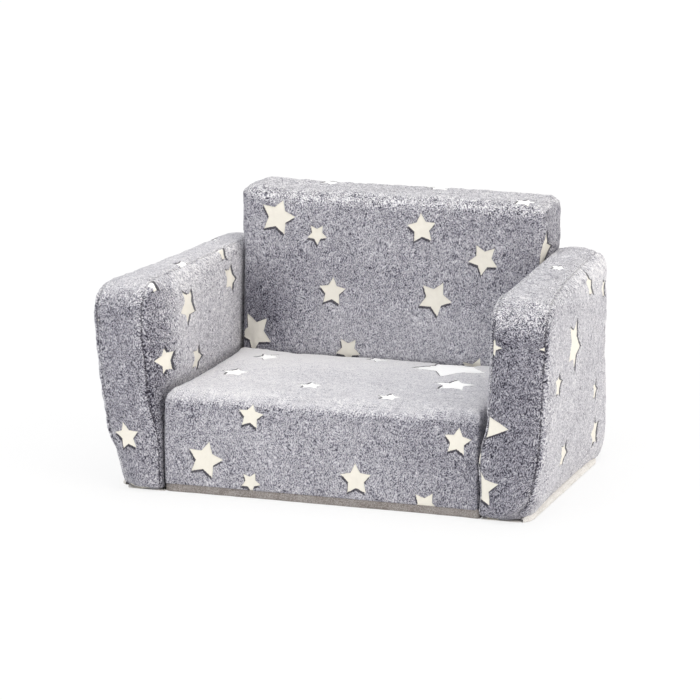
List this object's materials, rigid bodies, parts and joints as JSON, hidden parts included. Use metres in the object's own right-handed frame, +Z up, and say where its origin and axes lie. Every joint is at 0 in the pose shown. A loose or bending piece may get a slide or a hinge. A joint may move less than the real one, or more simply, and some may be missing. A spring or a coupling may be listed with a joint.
{
  "type": "kids flip open sofa",
  "caption": "Low foam sofa for children in star-patterned plush, with boxed arms and a seat that flips forward into a lounger.",
  "frame": {"origin": "centre of the bounding box in plan, on the floor", "axes": "+Z up, +X along the width to the right as seen from the front, front towards -Y"},
  "size_m": [0.7514, 0.4738, 0.442],
  "materials": {
    "plush": "short blue grey pile with cream stars",
    "foam": "open cell polyurethane foam",
    "lining": "taupe non-woven with small grip dots",
    "zip_tape": "woven tape with a moulded coil",
    "zip_slider": "satin"
  },
  "bodies": {
    "sofa_body": {"left_arm_cover": "plush", "left_arm_core": "foam", "left_arm_zip_tape": "zip_tape", "left_arm_lining": "lining", "right_arm_cover": "plush", "right_arm_core": "foam", "right_arm_zip_tape": "zip_tape", "right_arm_lining": "lining", "back_cover": "plush", "back_core": "foam", "back_zip_tape": "zip_tape", "seat_base_cover": "plush", "seat_base_core": "foam", "seat_base_zip_tape": "zip_tape", "seat_lining": "lining", "hinge_strip": "plush"},
    "flip_seat": {"flip_seat_cover": "plush", "flip_seat_core": "foam", "flip_seat_zip_tape": "zip_tape"},
    "left_arm_slider": {"left_arm_zip_slider": "zip_slider"},
    "right_arm_slider": {"right_arm_zip_slider": "zip_slider"},
    "back_slider": {"back_zip_slider": "zip_slider"},
    "seat_base_slider": {"seat_base_zip_slider": "zip_slider"},
    "flip_seat_slider": {"flip_seat_zip_slider": "zip_slider"}
  },
  "joints": [
    {"name": "seat_flip", "type": "hinge", "parent": "sofa_body", "child": "flip_seat", "pos_m": [0, -0.21795, 0.0845], "axis": [1, 0, 0], "range_deg": [0, 180], "deforming": ["hinge_strip"]},
    {"name": "left_arm_zip", "type": "slide", "parent": "sofa_body", "child": "left_arm_slider", "axis": [0, 0, 1], "range_m": [0, 0.184]},
    {"name": "right_arm_zip", "type": "slide", "parent": "sofa_body", "child": "right_arm_slider", "axis": [0, 0, 1], "range_m": [0, 0.184]},
    {"name": "back_zip", "type": "slide", "parent": "sofa_body", "child": "back_slider", "axis": [1, 0, 0], "range_m": [0, 0.404]},
    {"name": "seat_base_zip", "type": "slide", "parent": "sofa_body", "child": "seat_base_slider", "axis": [1, 0, 0], "range_m": [0, 0.404]},
    {"name": "flip_seat_zip", "type": "slide", "parent": "flip_seat", "child": "flip_seat_slider", "axis": [1, 0, 0], "range_m": [0, 0.404]}
  ]
}
